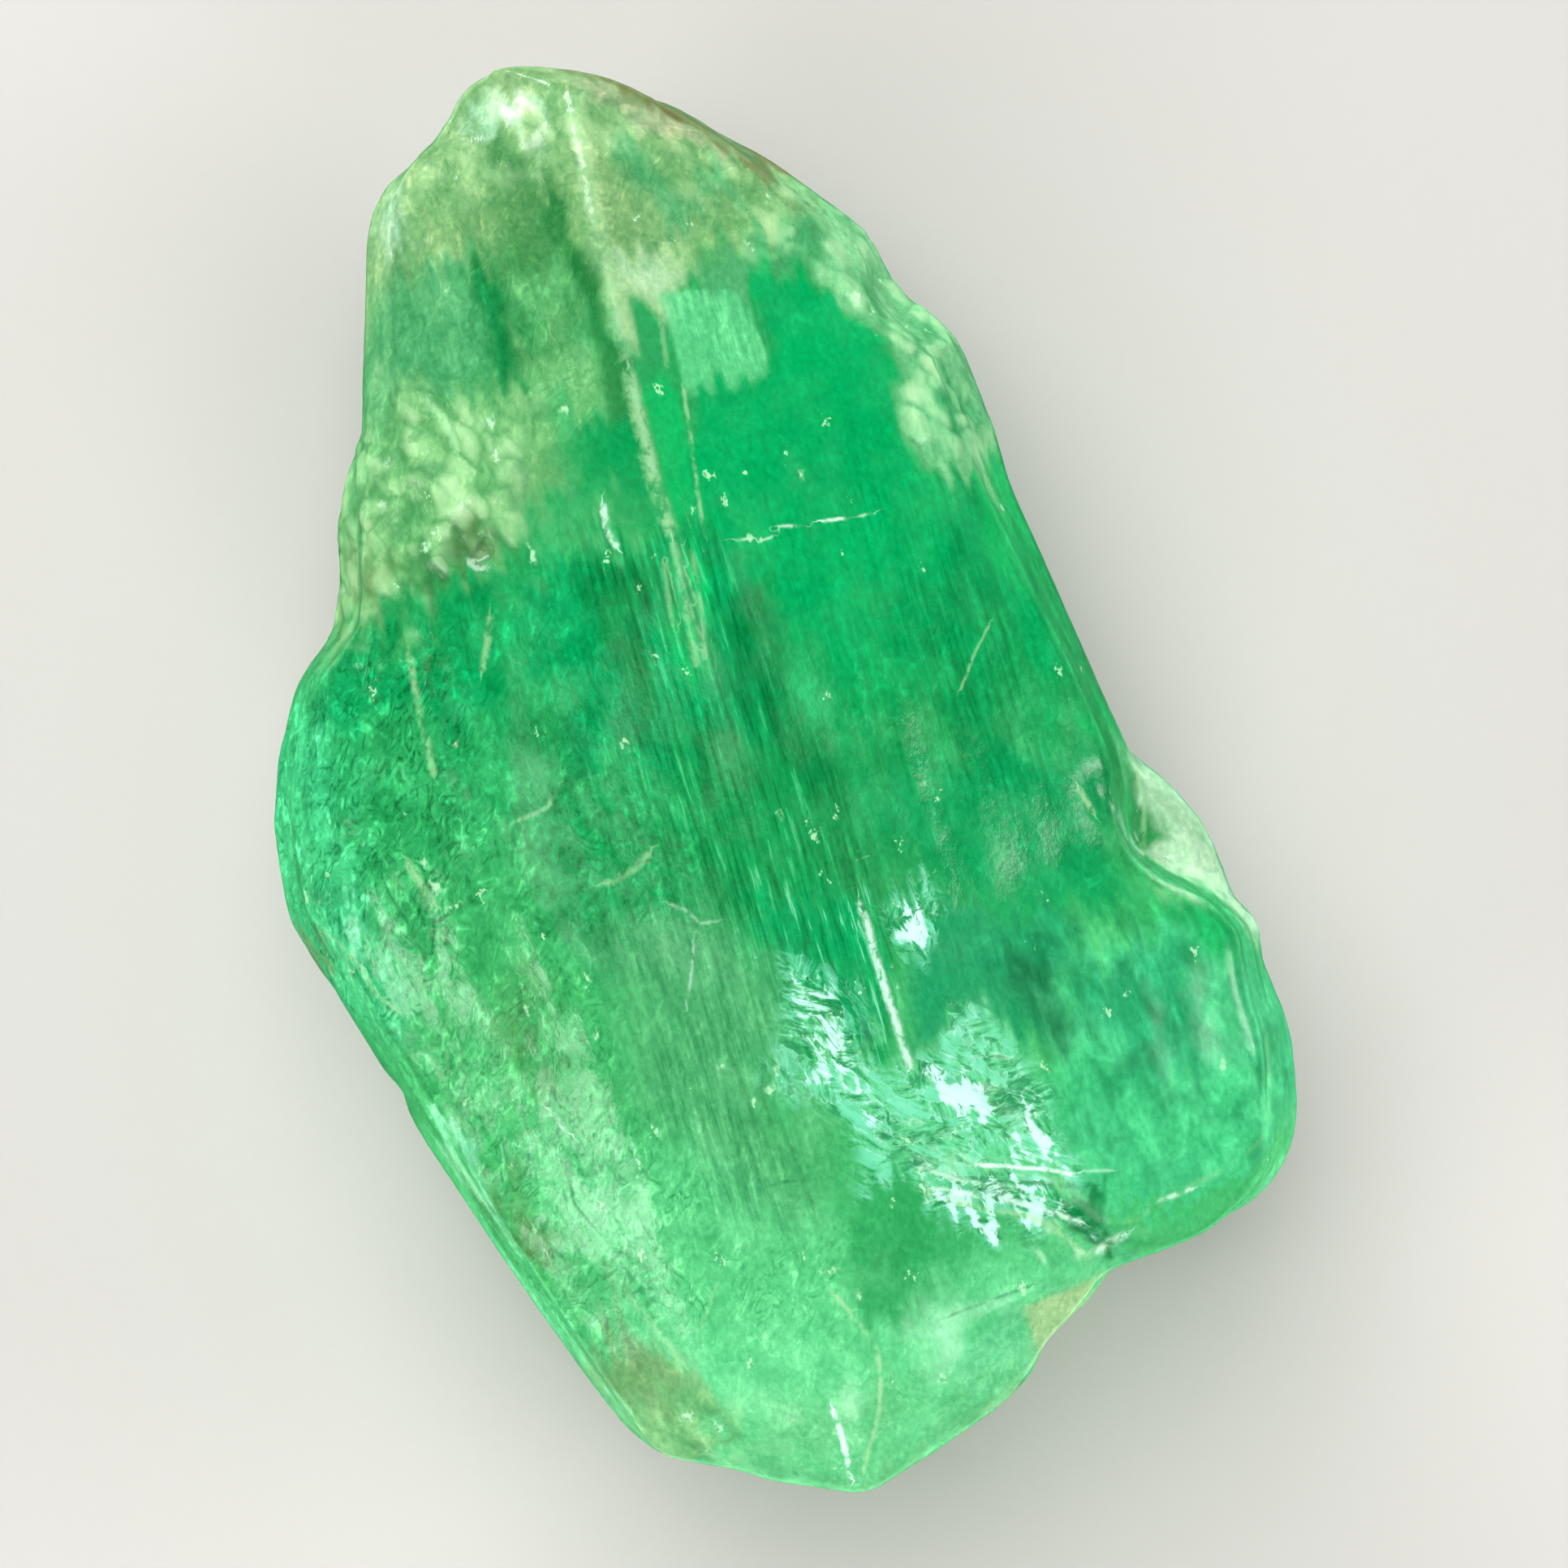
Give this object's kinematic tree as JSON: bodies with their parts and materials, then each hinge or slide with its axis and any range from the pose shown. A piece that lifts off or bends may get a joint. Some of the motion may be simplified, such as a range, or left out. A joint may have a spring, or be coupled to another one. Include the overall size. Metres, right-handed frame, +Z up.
{
  "type": "emerald crystal",
  "caption": "Rough translucent green emerald crystal: a broken six-sided prism with a raised front edge, a bulging flank, a side lobe and chipped ends, lying on a flat back face.",
  "frame": {"origin": "middle of the footprint's bounding box, on the flat face that the crystal rests on", "axes": "+Y along the prism towards its tip, +Z up from the rest face to the front faces"},
  "size_m": [0.0128, 0.02, 0.0083],
  "materials": {
    "emerald": "natural prism faces, glassy and finely lined, with cloudy rims"
  },
  "bodies": {
    "root": {"emerald_crystal": "emerald"}
  },
  "joints": []
}
